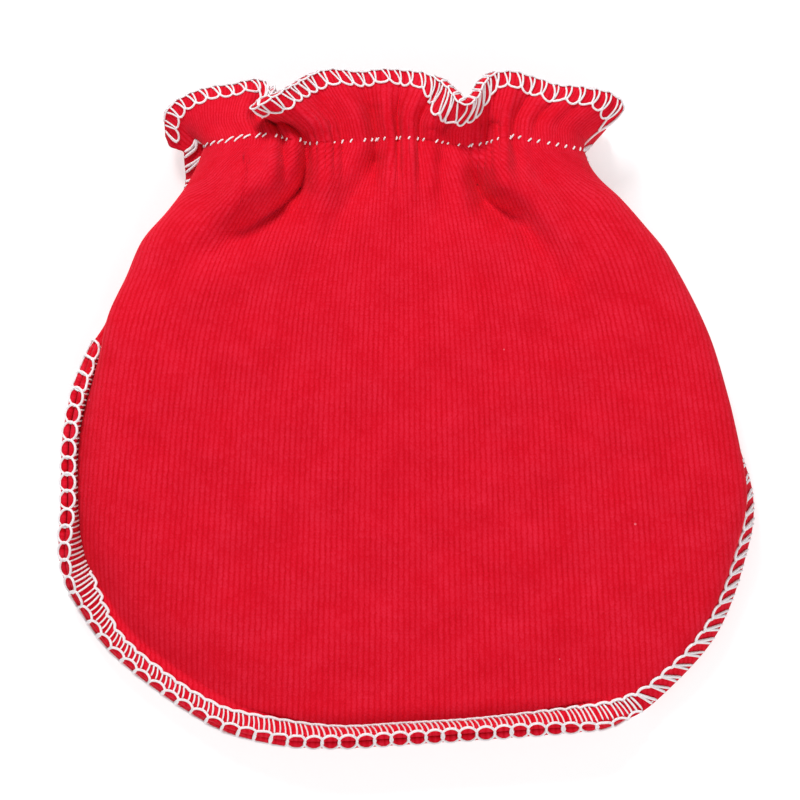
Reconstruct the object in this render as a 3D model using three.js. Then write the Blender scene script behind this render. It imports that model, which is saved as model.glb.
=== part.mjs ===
// Baby mitten laid flat: two knitted panels, an outside overlocked seam, a gathered wrist and a ruffle.
// Millimetres. +Z up, +Y from the fingertips to the wrist, origin on the table under the middle.
import * as THREE from 'three';

const WALL = 1.0;
const SEAM_GAP = 0.4;
const SEAM_ALLOWANCE = 3.7;
const LAYER_OFFSET = (WALL + SEAM_GAP) / 2;
// How far the front layer rolls up where the seam allowance stands.
const SEAM_ROLL = 0.5;
// Least cosine used when a crease keeps its thickness.
const MITRE_LIMIT = 0.55;

// Number of steps in each direction, for the front panel and the back panel.
const FRONT_STEPS = { along: 84, side: 6, fan: 10, allowance: 1, ruffle: 6 };
const BACK_STEPS = { along: 54, side: 3, fan: 6, allowance: 1, ruffle: 4 };

// The seam, from the left of the wrist round the fingertips to the right of the wrist.
// x, y: outline seen from above; inset: from the outline in to the seam line;
// lift: height of the seam; tilt: slope of the seam allowance, in degrees;
// lean: slope of the front wall at the seam, over 90 where it bulges past the seam;
// handle: how strongly the wall keeps that slope; reach: width of the rounded side.
const SEAM = [
  { x: -28.7, y: 34.6, inset: 3.1, lift: 4.2, tilt: -18, lean: 114, handle: 3.6, reach: 5.0 },
  { x: -29.6, y: 30.6, inset: 3.5, lift: 4.4, tilt: -50, lean: 142, handle: 6.3, reach: 4.9 },
  { x: -32.1, y: 26.9, inset: 3.8, lift: 4.5, tilt: -62, lean: 146, handle: 7.5, reach: 5.4 },
  { x: -35.2, y: 22.8, inset: 3.9, lift: 4.6, tilt: -62, lean: 150, handle: 8.6, reach: 6.8 },
  { x: -37.5, y: 17.7, inset: 3.8, lift: 4.5, tilt: -60, lean: 150, handle: 8.6, reach: 8.2 },
  { x: -39.7, y: 12.5, inset: 4.1, lift: 4.3, tilt: -11, lean: 150, handle: 11.0, reach: 9.2 },
  { x: -42.4, y: 6.8, inset: 3.2, lift: 3.5, tilt: 40, lean: 127, handle: 8.2, reach: 10.0 },
  { x: -44.7, y: 2.1, inset: 2.4, lift: 2.8, tilt: 70, lean: 97, handle: 6.4, reach: 10.8 },
  { x: -45.9, y: -4.0, inset: 1.9, lift: 2.3, tilt: 80, lean: 85, handle: 6.4, reach: 12.0 },
  { x: -46.1, y: -12.7, inset: 1.9, lift: 2.1, tilt: 80, lean: 82, handle: 6.4, reach: 13.0 },
  { x: -45.5, y: -20.3, inset: 2.5, lift: 1.8, tilt: 54, lean: 64, handle: 5.8, reach: 13.0 },
  { x: -43.1, y: -26.3, inset: 3.4, lift: 1.6, tilt: 22, lean: 52, handle: 5.2, reach: 12.4 },
  { x: -38.4, y: -32.8, inset: 3.6, lift: 1.5, tilt: 14, lean: 48, handle: 4.8, reach: 12.0 },
  { x: -26.3, y: -41.6, inset: 3.6, lift: 1.5, tilt: 22, lean: 46, handle: 4.6, reach: 12.6 },
  { x: -17.6, y: -44.6, inset: 3.2, lift: 1.6, tilt: 48, lean: 54, handle: 4.6, reach: 14.0 },
  { x: -9.3, y: -45.3, inset: 2.3, lift: 1.7, tilt: 70, lean: 66, handle: 5.0, reach: 15.0 },
  { x: 0.3, y: -44.8, inset: 2.2, lift: 1.7, tilt: 72, lean: 68, handle: 5.0, reach: 15.0 },
  { x: 11.0, y: -44.1, inset: 2.2, lift: 1.8, tilt: 72, lean: 68, handle: 5.0, reach: 15.0 },
  { x: 23.3, y: -42.8, inset: 2.9, lift: 2.1, tilt: 50, lean: 60, handle: 5.0, reach: 14.0 },
  { x: 33.6, y: -38.4, inset: 3.1, lift: 3.3, tilt: -36, lean: 66, handle: 5.2, reach: 12.6 },
  { x: 41.7, y: -29.5, inset: 2.6, lift: 3.9, tilt: -54, lean: 86, handle: 5.6, reach: 12.0 },
  { x: 46.0, y: -17.0, inset: 2.1, lift: 4.3, tilt: -64, lean: 96, handle: 6.2, reach: 11.0 },
  { x: 46.4, y: -11.3, inset: 2.2, lift: 4.3, tilt: -64, lean: 116, handle: 6.8, reach: 10.0 },
  { x: 45.5, y: -5.2, inset: 3.2, lift: 4.3, tilt: -60, lean: 136, handle: 7.8, reach: 9.6 },
  { x: 43.6, y: 2.4, inset: 3.7, lift: 4.4, tilt: -60, lean: 148, handle: 8.4, reach: 9.2 },
  { x: 40.8, y: 10.9, inset: 3.8, lift: 4.5, tilt: -60, lean: 150, handle: 8.6, reach: 8.8 },
  { x: 35.6, y: 20.8, inset: 3.8, lift: 4.5, tilt: -62, lean: 150, handle: 8.4, reach: 7.4 },
  { x: 32.4, y: 25.0, inset: 3.8, lift: 4.5, tilt: -64, lean: 150, handle: 7.8, reach: 6.0 },
  { x: 29.1, y: 28.9, inset: 3.4, lift: 4.4, tilt: -66, lean: 146, handle: 6.4, reach: 5.0 },
  { x: 26.0, y: 32.0, inset: 3.1, lift: 4.3, tilt: -68, lean: 140, handle: 5.2, reach: 4.7 },
  { x: 24.9, y: 34.2, inset: 2.9, lift: 4.3, tilt: -70, lean: 134, handle: 4.6, reach: 5.0 },
];

// Length over which the cloth turns square to the gather line at the wrist, and the share of
// the gather line that blends into the sides.
const WRIST_TURN = 6;
const WRIST_BLEND = 0.07;
const WRIST_SLOPE = 0.2;

// Shares of the rounded side: where its curve levels out, and how high its first part may rise.
const CROWN_HANDLE = 0.45;
const HIGHEST_RISE = 0.8;

// Width of the curved edge of the back panel, from the seam down to the table.
const BACK_REACH = 6.5;

// Height of the front panel over the table along the middle, lower towards the sides.
const CROWN = [
  { y: -46, height: 3.4 },
  { y: -38, height: 4.6 },
  { y: -28, height: 6.4 },
  { y: -15, height: 9.0 },
  { y: 0, height: 11.6 },
  { y: 10, height: 12.8 },
  { y: 22, height: 13.4 },
  { y: 30, height: 12.6 },
  { y: 36, height: 10.6 },
];
const CROWN_SIDE_DROP = 0.12;
const HALF_WIDTH = 46;

// The gather line across the front of the wrist.
const WRIST_LINE = [
  { x: -26, y: 34.6 },
  { x: -20.5, y: 36.4 },
  { x: -11, y: 35.5 },
  { x: 0, y: 36.1 },
  { x: 10.5, y: 35.2 },
  { x: 14.5, y: 36.3 },
  { x: 19.5, y: 35.3 },
  { x: 23, y: 34.3 },
];

// Folds pressed into the front panel; each follows its points and fades at both ends.
const FOLDS = [
  { name: 'left shoulder trough', width: 2.7, depth: -1.7,
    path: [[-12.6, 34.6], [-13.2, 29.6], [-16.4, 25.6], [-22.0, 22.4], [-28.0, 19.5]] },
  { name: 'left shoulder swell', width: 4.2, depth: 0.9, path: [[-19.5, 32.5], [-26.5, 25.5]] },
  { name: 'middle trough', width: 1.7, depth: -0.7, path: [[-3.7, 35.0], [-4.6, 31.0], [-8.6, 23.5]] },
  { name: 'middle hollow', width: 8.0, depth: -0.6, path: [[-1.0, 30.0], [1.0, 4.0]] },
  { name: 'right trough', width: 2.2, depth: -1.4,
    path: [[8.1, 35.3], [9.2, 30.7], [10.8, 27.6], [14.8, 25.8], [18.5, 21.0]] },
  { name: 'right swell', width: 2.6, depth: 0.9, path: [[11.3, 33.5], [12.5, 29.5]] },
  { name: 'right shoulder trough', width: 2.4, depth: -0.8,
    path: [[17.0, 33.5], [21.5, 28.5], [26.5, 23.0]] },
];

// A fold's depth along its path: the share at its start, where it is full and where it begins
// to ease, and the share lost by its end.
const FOLD_FADE = { first: 0.45, full: 0.2, easing: 0.45, lost: 0.75 };

// Small gathers on both sides of the gather line.
const GATHER = {
  pitch: 3.7, height: 0.42, fade: 5.5, drift: 0.32, driftPitch: 17, endBlend: 0.13, backHeight: 0.55,
};

// The ruffle's hem on the front panel, from the left seam to the right seam, with its folds.
const FRONT_HEM = [
  { x: -31.9, y: 39.8, z: 4.9 },
  { x: -30.0, y: 41.5, z: 5.4 },
  { x: -26.2, y: 42.8, z: 5.6 },
  { x: -22.9, y: 43.2, z: 5.4 },
  { x: -19.6, y: 43.8, z: 4.9 },
  { x: -18.0, y: 43.2, z: 5.3 },
  { x: -17.6, y: 42.3, z: 7.3 },
  { x: -18.4, y: 41.3, z: 9.2 },
  { x: -19.6, y: 40.7, z: 10.8 },
  { x: -19.9, y: 40.4, z: 12.6 },
  { x: -18.6, y: 41.1, z: 13.9 },
  { x: -16.6, y: 42.1, z: 13.2 },
  { x: -14.7, y: 43.3, z: 11.0 },
  { x: -11.3, y: 45.0, z: 9.2 },
  { x: -6.0, y: 45.1, z: 8.4 },
  { x: 0.3, y: 45.2, z: 8.6 },
  { x: 4.8, y: 44.0, z: 10.2 },
  { x: 6.8, y: 42.2, z: 12.8 },
  { x: 8.0, y: 40.9, z: 14.6 },
  { x: 9.3, y: 41.8, z: 13.0 },
  { x: 10.3, y: 43.7, z: 10.4 },
  { x: 12.5, y: 45.0, z: 8.4 },
  { x: 17.5, y: 44.2, z: 7.2 },
  { x: 20.0, y: 43.2, z: 7.6 },
  { x: 24.6, y: 42.8, z: 7.6 },
  { x: 27.6, y: 42.0, z: 6.9 },
  { x: 28.9, y: 40.7, z: 5.9 },
  { x: 28.0, y: 39.5, z: 5.2 },
  { x: 26.2, y: 38.6, z: 4.7 },
];
// How far down each gather runs straight before it spreads.
const FAN_BEND = 0.72;
// Share of the ruffle's height where its sideways folds begin.
const FOLD_START = 0.25;
// The hem of the back panel's ruffle, lower and shorter under the front one.
const BACK_HEM = [
  { x: -31.7, y: 39.6, z: 3.5 },
  { x: -27.5, y: 41.3, z: 2.2 },
  { x: -22.5, y: 41.4, z: 0.6 },
  { x: -17.5, y: 41.2, z: 2.6 },
  { x: -12.5, y: 41.5, z: 0.6 },
  { x: -7.5, y: 41.8, z: 2.8 },
  { x: -2.5, y: 41.6, z: 0.6 },
  { x: 2.0, y: 41.2, z: 2.6 },
  { x: 6.5, y: 40.4, z: 0.6 },
  { x: 11.0, y: 40.8, z: 2.8 },
  { x: 15.5, y: 41.3, z: 0.6 },
  { x: 19.8, y: 41.0, z: 2.4 },
  { x: 22.8, y: 40.0, z: 1.4 },
  { x: 24.8, y: 38.4, z: 3.9 },
];
// Where the seam allowance ends at the ruffle's hem, left and right.
const LEFT_CORNER = { x: -31.5, y: 37.1, z: 2.6 };
const RIGHT_CORNER = { x: 26.3, y: 37.9, z: 1.0 };

// Wrist elastic: height along Y, thickness, and its place inside the walls.
const ELASTIC = { height: 2.4, thickness: 0.7, clearance: 0.35, drop: 1.45 };

function smoothStep(value) {
  const t = Math.min(1, Math.max(0, value));
  return t * t * (3 - 2 * t);
}

// Smooth curve through table rows: a column's value at a knot position.
class Track {
  constructor(rows, knots) {
    this.rows = rows;
    this.knots = knots;
  }

  static byLength(rows, keys) {
    const knots = [0];
    for (let i = 1; i < rows.length; i += 1) {
      const step = Math.hypot(...keys.map((key) => rows[i][key] - rows[i - 1][key]));
      knots.push(knots[i - 1] + step);
    }
    return new Track(rows, knots);
  }

  get length() {
    return this.knots[this.knots.length - 1];
  }

  slope(i, key) {
    const { rows, knots } = this;
    const before = Math.max(0, i - 1);
    const after = Math.min(rows.length - 1, i + 1);
    return (rows[after][key] - rows[before][key]) / (knots[after] - knots[before]);
  }

  at(position, key) {
    const { rows, knots } = this;
    const last = rows.length - 1;
    let i = 0;
    while (i < last - 1 && position > knots[i + 1]) {
      i += 1;
    }
    const span = knots[i + 1] - knots[i];
    const t = Math.min(1, Math.max(0, (position - knots[i]) / span));
    const t2 = t * t;
    const t3 = t2 * t;
    return (2 * t3 - 3 * t2 + 1) * rows[i][key]
      + (t3 - 2 * t2 + t) * span * this.slope(i, key)
      + (3 * t2 - 2 * t3) * rows[i + 1][key]
      + (t3 - t2) * span * this.slope(i + 1, key);
  }
}

const seamTrack = Track.byLength(SEAM, ['x', 'y']);
const crownTrack = new Track(CROWN, CROWN.map((row) => row.y));
const wristTrack = new Track(WRIST_LINE, WRIST_LINE.map((row) => row.x));

// Everything about the seam at one place along it.
function seamAt(share) {
  const position = share * seamTrack.length;
  const step = 0.5;
  const ahead = Math.min(seamTrack.length, position + step);
  const behind = Math.max(0, position - step);
  const dx = seamTrack.at(ahead, 'x') - seamTrack.at(behind, 'x');
  const dy = seamTrack.at(ahead, 'y') - seamTrack.at(behind, 'y');
  const size = Math.hypot(dx, dy);
  const fromEnd = Math.min(position, seamTrack.length - position);
  const turn = smoothStep(fromEnd / WRIST_TURN);
  const acrossWrist = share < 0.5 ? 1 : -1;
  const inward = new THREE.Vector2(-dy / size, dx / size).multiplyScalar(turn);
  inward.x += acrossWrist * (1 - turn);
  inward.y += WRIST_SLOPE * (1 - turn);
  inward.normalize();
  const read = (key) => seamTrack.at(position, key);
  const radians = Math.PI / 180;
  const tilt = read('tilt') * radians;
  const allowance = new THREE.Vector3(-inward.x * Math.cos(tilt), -inward.y * Math.cos(tilt), Math.sin(tilt));
  const upper = new THREE.Vector3(inward.x * Math.sin(tilt), inward.y * Math.sin(tilt), Math.cos(tilt));
  const inset = read('inset');
  const line = new THREE.Vector3(read('x') + inward.x * inset, read('y') + inward.y * inset, read('lift'));
  const lean = read('lean') * radians;
  return { line, inward, allowance, upper, lean, handle: read('handle'), reach: read('reach') };
}

function distanceToPath(x, y, path) {
  let best = { distance: Infinity, along: 0 };
  const total = path.length - 1;
  for (let i = 0; i < total; i += 1) {
    const [ax, ay] = path[i];
    const [bx, by] = path[i + 1];
    const lengthSquared = (bx - ax) ** 2 + (by - ay) ** 2;
    const raw = ((x - ax) * (bx - ax) + (y - ay) * (by - ay)) / lengthSquared;
    const t = Math.min(1, Math.max(0, raw));
    const distance = Math.hypot(x - ax - t * (bx - ax), y - ay - t * (by - ay));
    if (distance < best.distance) {
      best = { distance, along: (i + t) / total };
    }
  }
  return best;
}

function foldHeight(x, y) {
  let height = 0;
  for (const fold of FOLDS) {
    const { distance, along } = distanceToPath(x, y, fold.path);
    const { first, full, easing, lost } = FOLD_FADE;
    const growth = first + (1 - first) * smoothStep(along / full);
    const fade = growth * (1 - lost * smoothStep((along - easing) / (1 - easing)));
    height += fold.depth * fade * Math.exp(-((distance / fold.width) ** 2));
  }
  return height;
}

function crownHeight(x, y) {
  const side = 1 - CROWN_SIDE_DROP * (x / HALF_WIDTH) ** 2;
  return crownTrack.at(y, 'height') * side + foldHeight(x, y);
}

function gatherWave(x) {
  const drift = GATHER.drift * Math.sin((2 * Math.PI * x) / GATHER.driftPitch);
  return Math.sin(2 * Math.PI * (x / GATHER.pitch + drift));
}

function arc(a, b, c, t) {
  const s = 1 - t;
  return s * s * a + 2 * s * t * b + t * t * c;
}

function bezier(a, b, c, d, t) {
  const s = 1 - t;
  return s * s * s * a + 3 * s * s * t * b + 3 * s * t * t * c + t * t * t * d;
}

// A point on the rounded side of the front panel, share 0 at the seam and 1 at the crown.
function frontSide(station, share) {
  const start = station.line.clone().addScaledVector(station.upper, LAYER_OFFSET);
  start.z += SEAM_ROLL * Math.max(0, station.allowance.z);
  const out = station.handle * Math.cos(station.lean);
  const across = bezier(0, out, CROWN_HANDLE * station.reach, station.reach, share);
  const x = start.x + station.inward.x * across;
  const y = start.y + station.inward.y * across;
  const crown = crownHeight(x, y);
  const rise = Math.min(station.handle * Math.sin(station.lean), HIGHEST_RISE * (crown - start.z));
  return new THREE.Vector3(x, y, bezier(start.z, start.z + rise, crown, crown, share));
}

// A point on the curved edge of the back panel, from the seam down to the table.
function backSide(station, share) {
  const start = station.line.clone().addScaledVector(station.upper, -LAYER_OFFSET);
  const across = BACK_REACH * share;
  const height = WALL / 2 + (start.z - WALL / 2) * (1 - share) ** 2;
  return new THREE.Vector3(start.x + station.inward.x * across, start.y + station.inward.y * across, height);
}

// Collects vertices and triangles of one sheet of cloth, seen from its upper side.
class Sheet {
  constructor() {
    this.points = [];
    this.triangles = [];
  }

  add(point) {
    this.points.push(point);
    return this.points.length - 1;
  }

  // Grid of vertex numbers; triangles are left out where two corners are one vertex.
  weave(grid, flip) {
    for (let i = 0; i + 1 < grid.length; i += 1) {
      for (let j = 0; j + 1 < grid[i].length; j += 1) {
        const corners = [grid[i][j], grid[i + 1][j], grid[i + 1][j + 1], grid[i][j + 1]];
        const pair = [[corners[0], corners[1], corners[2]], [corners[0], corners[2], corners[3]]];
        for (const triangle of pair) {
          if (new Set(triangle).size === 3) {
            this.triangles.push(flip ? triangle.reverse() : triangle);
          }
        }
      }
    }
  }

  // Unit normal of each vertex, and how far each side moves so that a crease keeps its thickness.
  offsets() {
    const sums = this.points.map(() => new THREE.Vector3());
    const bends = this.points.map(() => new THREE.Vector3());
    const units = this.triangles.map(([a, b, c]) => {
      const ab = this.points[b].clone().sub(this.points[a]);
      const ac = this.points[c].clone().sub(this.points[a]);
      return ab.cross(ac).normalize();
    });
    this.triangles.forEach((triangle, f) => {
      triangle.forEach((vertex, corner) => {
        const here = this.points[vertex];
        const one = this.points[triangle[(corner + 1) % 3]].clone().sub(here).normalize();
        const two = this.points[triangle[(corner + 2) % 3]].clone().sub(here).normalize();
        sums[vertex].addScaledVector(units[f], one.angleTo(two));
        bends[vertex].add(one).add(two);
      });
    });
    sums.forEach((sum) => sum.normalize());
    const agreement = sums.map(() => ({ sum: 0, count: 0 }));
    this.triangles.forEach((triangle, f) => {
      for (const vertex of triangle) {
        agreement[vertex].sum += units[f].dot(sums[vertex]);
        agreement[vertex].count += 1;
      }
    });
    return sums.map((normal, i) => {
      const mitre = 1 / Math.max(MITRE_LIMIT, agreement[i].sum / agreement[i].count);
      const hollowAbove = bends[i].dot(normal) > 0;
      return { normal, above: hollowAbove ? mitre : 1, below: hollowAbove ? 1 : mitre };
    });
  }

  // Closed wall of even thickness, half to each side of the sheet.
  wall(thickness) {
    const offsets = this.offsets();
    const count = this.points.length;
    const positions = [];
    for (const side of ['above', 'below']) {
      const half = side === 'above' ? thickness / 2 : -thickness / 2;
      this.points.forEach((point, i) => {
        const moved = point.clone().addScaledVector(offsets[i].normal, half * offsets[i][side]);
        positions.push(moved.x, moved.y, Math.max(0, moved.z));
      });
    }
    const index = [];
    const edges = new Map();
    for (const [a, b, c] of this.triangles) {
      index.push(a, b, c, a + count, c + count, b + count);
      for (const [from, to] of [[a, b], [b, c], [c, a]]) {
        const back = `${to}_${from}`;
        if (edges.has(back)) {
          edges.delete(back);
        } else {
          edges.set(`${from}_${to}`, [from, to]);
        }
      }
    }
    for (const [from, to] of edges.values()) {
      index.push(from, from + count, to + count, from, to + count, to);
    }
    const geometry = new THREE.BufferGeometry();
    geometry.setAttribute('position', new THREE.Float32BufferAttribute(positions, 3));
    geometry.setIndex(index);
    geometry.computeVertexNormals();
    return geometry;
  }
}

// A place on the gather line, at a share of the way between its two ends.
function wristPlace(start, end, share) {
  const x = start.x + (end.x - start.x) * share;
  const straightY = start.y + (end.y - start.y) * share;
  const fromEnd = Math.min(share, 1 - share);
  const blend = smoothStep(fromEnd / WRIST_BLEND);
  const place = new THREE.Vector2(x, straightY + (wristTrack.at(x, 'y') - straightY) * blend);
  return { place, ends: smoothStep(fromEnd / GATHER.endBlend) };
}

// One panel as a sheet: rounded side, fan of gathers, seam allowance and ruffle.
function panelSheet(steps, isFront) {
  const sheet = new Sheet();
  const sidePoint = isFront ? frontSide : backSide;
  const layer = isFront ? LAYER_OFFSET : -LAYER_OFFSET;
  const stations = [];
  for (let i = 0; i <= steps.along; i += 1) {
    stations.push(seamAt(i / steps.along));
  }
  const ring = stations.map((station) => {
    const column = [];
    for (let k = 0; k <= steps.side; k += 1) {
      column.push(sheet.add(sidePoint(station, k / steps.side)));
    }
    return column;
  });
  const rimOf = (i) => sheet.points[ring[i][steps.side]];
  const wristStart = rimOf(0);
  const wristEnd = rimOf(steps.along);
  const fan = ring.map((column, i) => {
    const rim = rimOf(i);
    if (i === 0 || i === steps.along) {
      return new Array(steps.fan + 1).fill(column[steps.side]);
    }
    const { place: wrist, ends } = wristPlace(wristStart, wristEnd, i / steps.along);
    const line = [];
    for (let j = 0; j < steps.fan; j += 1) {
      const share = (j / steps.fan) ** 1.35;
      const bend = wrist.y + FAN_BEND * (rim.y - wrist.y);
      const place = new THREE.Vector2(
        arc(wrist.x, wrist.x, rim.x, share),
        arc(wrist.y, bend, rim.y, share),
      );
      const away = Math.hypot(place.x - wrist.x, place.y - wrist.y);
      const fade = Math.exp(-((away / GATHER.fade) ** 2)) * ends;
      const wave = gatherWave(wrist.x);
      const height = isFront
        ? crownHeight(place.x, place.y) + GATHER.height * wave * fade
        : WALL / 2 + GATHER.backHeight * (1 + wave) * 0.5 * fade;
      line.push(sheet.add(new THREE.Vector3(place.x, place.y, height)));
    }
    line.push(column[steps.side]);
    return line;
  });
  const allowance = stations.map((station, i) => {
    const column = [ring[i][0]];
    const seam = sheet.points[ring[i][0]];
    for (let m = 1; m <= steps.allowance; m += 1) {
      const width = (SEAM_ALLOWANCE * m) / steps.allowance;
      column.push(sheet.add(seam.clone().addScaledVector(station.allowance, width)));
    }
    return column;
  });
  sheet.weave(ring, false);
  sheet.weave(fan, true);
  sheet.weave(allowance, true);
  addRuffle(sheet, steps, ring, fan, allowance, isFront, layer, stations);
  return sheet;
}

// The ruffle above the gather line, with the seam allowance along both of its sides.
function addRuffle(sheet, steps, ring, fan, allowance, isFront, layer, stations) {
  const last = steps.along;
  const wristRow = [...ring[0]];
  for (let i = 1; i < last; i += 1) {
    wristRow.push(fan[i][0]);
  }
  wristRow.push(...[...ring[last]].reverse());
  const shares = [0];
  for (let c = 1; c < wristRow.length; c += 1) {
    const gap = sheet.points[wristRow[c]].distanceTo(sheet.points[wristRow[c - 1]]);
    shares.push(shares[c - 1] + gap);
  }
  const total = shares[shares.length - 1];
  const hemTrack = Track.byLength(isFront ? FRONT_HEM : BACK_HEM, ['x', 'y', 'z']);
  const hemAt = (share) => {
    const position = share * hemTrack.length;
    return new THREE.Vector3(...['x', 'y', 'z'].map((key) => hemTrack.at(position, key)));
  };
  const hemStart = hemAt(0);
  const hemSpan = hemAt(1).x - hemStart.x;
  const ruffle = wristRow.map((root, c) => {
    const wrist = sheet.points[root];
    const share = shares[c] / total;
    const hem = hemAt(share);
    const evenX = hemStart.x + hemSpan * share;
    const column = [root];
    for (let j = 1; j <= steps.ruffle; j += 1) {
      const t = j / steps.ruffle;
      const point = wrist.clone().lerp(hem, t);
      const folded = smoothStep((t - FOLD_START) / (1 - FOLD_START));
      point.x = wrist.x + (evenX - wrist.x) * t + (hem.x - evenX) * folded;
      column.push(sheet.add(point));
    }
    return column;
  });
  sheet.weave(ruffle, false);
  const leftTip = cornerTip(LEFT_CORNER, stations[0], layer);
  const rightTip = cornerTip(RIGHT_CORNER, stations[last], layer);
  addSideStrip(sheet, steps, ruffle[0], allowance[0], leftTip, false);
  addSideStrip(sheet, steps, ruffle[ruffle.length - 1], allowance[last], rightTip, true);
}

function cornerTip(corner, station, layer) {
  return new THREE.Vector3(corner.x, corner.y, corner.z).addScaledVector(station.upper, layer);
}

// The seam allowance along one side of the ruffle, up to its corner at the hem.
function addSideStrip(sheet, steps, column, base, tip, flip) {
  const hemSeam = sheet.points[column[steps.ruffle]];
  const wristOut = sheet.points[base[steps.allowance]].clone().sub(sheet.points[base[0]]);
  const hemOut = tip.clone().sub(hemSeam);
  const grid = column.map((vertex, j) => {
    if (j === 0) {
      return base;
    }
    const out = wristOut.clone().lerp(hemOut, j / steps.ruffle).setLength(SEAM_ALLOWANCE);
    const row = [vertex];
    for (let m = 1; m <= steps.allowance; m += 1) {
      row.push(sheet.add(sheet.points[vertex].clone().addScaledVector(out, m / steps.allowance)));
    }
    return row;
  });
  sheet.weave(grid, flip);
}

// The closed path of the wrist elastic: under the front panel, round the seam and over the back panel.
function elasticPath() {
  const steps = 26;
  const sideSteps = 5;
  const left = seamAt(0);
  const right = seamAt(1);
  const start = frontSide(left, 1);
  const end = frontSide(right, 1);
  const loop = [];
  for (let k = 0; k < sideSteps; k += 1) {
    loop.push(frontSide(left, k / sideSteps));
  }
  for (let i = 0; i <= steps; i += 1) {
    const { place } = wristPlace(start, end, i / steps);
    loop.push(new THREE.Vector3(place.x, place.y, crownHeight(place.x, place.y) - GATHER.height));
  }
  for (let k = sideSteps - 1; k >= 0; k -= 1) {
    loop.push(frontSide(right, k / sideSteps));
  }
  for (let k = 0; k < sideSteps; k += 1) {
    loop.push(backSide(right, k / sideSteps));
  }
  const backStart = backSide(left, 1);
  const backEnd = backSide(right, 1);
  for (let i = steps; i >= 0; i -= 1) {
    const { place } = wristPlace(backStart, backEnd, i / steps);
    loop.push(new THREE.Vector3(place.x, place.y, WALL / 2 + GATHER.backHeight));
  }
  for (let k = sideSteps - 1; k >= 0; k -= 1) {
    loop.push(backSide(left, k / sideSteps));
  }
  return loop;
}

// A flat band of even thickness along the elastic's path, clear of both walls.
function elasticBand() {
  const path = elasticPath();
  const count = path.length;
  const near = WALL / 2 + ELASTIC.clearance;
  const far = near + ELASTIC.thickness;
  const positions = [];
  path.forEach((point, i) => {
    const before = path[(i + count - 1) % count];
    const after = path[(i + 1) % count];
    const inward = new THREE.Vector3(after.z - before.z, 0, before.x - after.x).normalize();
    const middle = point.y - ELASTIC.drop;
    for (const [depth, side] of [[near, 0.5], [near, -0.5], [far, -0.5], [far, 0.5]]) {
      const moved = point.clone().addScaledVector(inward, depth);
      positions.push(moved.x, middle + side * ELASTIC.height, moved.z);
    }
  });
  const index = [];
  for (let i = 0; i < count; i += 1) {
    const next = (i + 1) % count;
    for (let corner = 0; corner < 4; corner += 1) {
      const other = (corner + 1) % 4;
      const a = 4 * i + corner;
      const b = 4 * i + other;
      const c = 4 * next + other;
      const d = 4 * next + corner;
      index.push(a, b, c, a, c, d);
    }
  }
  const geometry = new THREE.BufferGeometry();
  geometry.setAttribute('position', new THREE.Float32BufferAttribute(positions, 3));
  geometry.setIndex(index);
  geometry.computeVertexNormals();
  return geometry;
}

function cloth() {
  return new THREE.MeshStandardMaterial({ color: 0xe4162d, roughness: 0.92, metalness: 0 });
}

const group = new THREE.Group();
const frontPanel = new THREE.Mesh(panelSheet(FRONT_STEPS, true).wall(WALL), cloth());
frontPanel.name = 'front_panel';
const backPanel = new THREE.Mesh(panelSheet(BACK_STEPS, false).wall(WALL), cloth());
backPanel.name = 'back_panel';
const elasticLook = new THREE.MeshStandardMaterial({ color: 0xf2efec, roughness: 0.7, metalness: 0 });
const wristElastic = new THREE.Mesh(elasticBand(), elasticLook);
wristElastic.name = 'wrist_elastic';
group.add(frontPanel, backPanel, wristElastic);

export default group;
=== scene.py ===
"""Baby mitten laid flat: red rib knit, white overlocked seam and ruffle, gathered wrist.

The tables are in millimetres and degrees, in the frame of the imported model; meshes are made in metres.
"""
import math

import bpy
import numpy as np
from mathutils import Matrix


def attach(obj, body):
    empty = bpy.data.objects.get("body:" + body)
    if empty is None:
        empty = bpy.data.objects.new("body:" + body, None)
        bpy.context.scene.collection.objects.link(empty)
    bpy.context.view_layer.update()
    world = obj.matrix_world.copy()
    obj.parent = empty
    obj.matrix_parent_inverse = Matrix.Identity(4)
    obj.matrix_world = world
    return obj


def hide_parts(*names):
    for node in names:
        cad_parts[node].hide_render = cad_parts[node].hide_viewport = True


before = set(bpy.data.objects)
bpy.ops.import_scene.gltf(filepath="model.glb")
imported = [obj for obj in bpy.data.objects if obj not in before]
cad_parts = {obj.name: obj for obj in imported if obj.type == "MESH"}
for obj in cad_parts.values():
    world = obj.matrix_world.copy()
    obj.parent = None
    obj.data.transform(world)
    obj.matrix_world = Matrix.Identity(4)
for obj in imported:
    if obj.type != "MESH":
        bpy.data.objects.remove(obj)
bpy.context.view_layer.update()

MM = 0.001

# Cloth and seam
CLOTH = 0.85
LAYER_OFFSET = 0.5
SEAM_ALLOWANCE = 3.7
SEAM_ROLL = 0.5
FRONT_STEPS = {"along": 336, "side": 20, "fan": 54, "allowance": 6, "ruffle": 34}
BACK_STEPS = {"along": 280, "side": 12, "fan": 40, "allowance": 6, "ruffle": 34}

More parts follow.
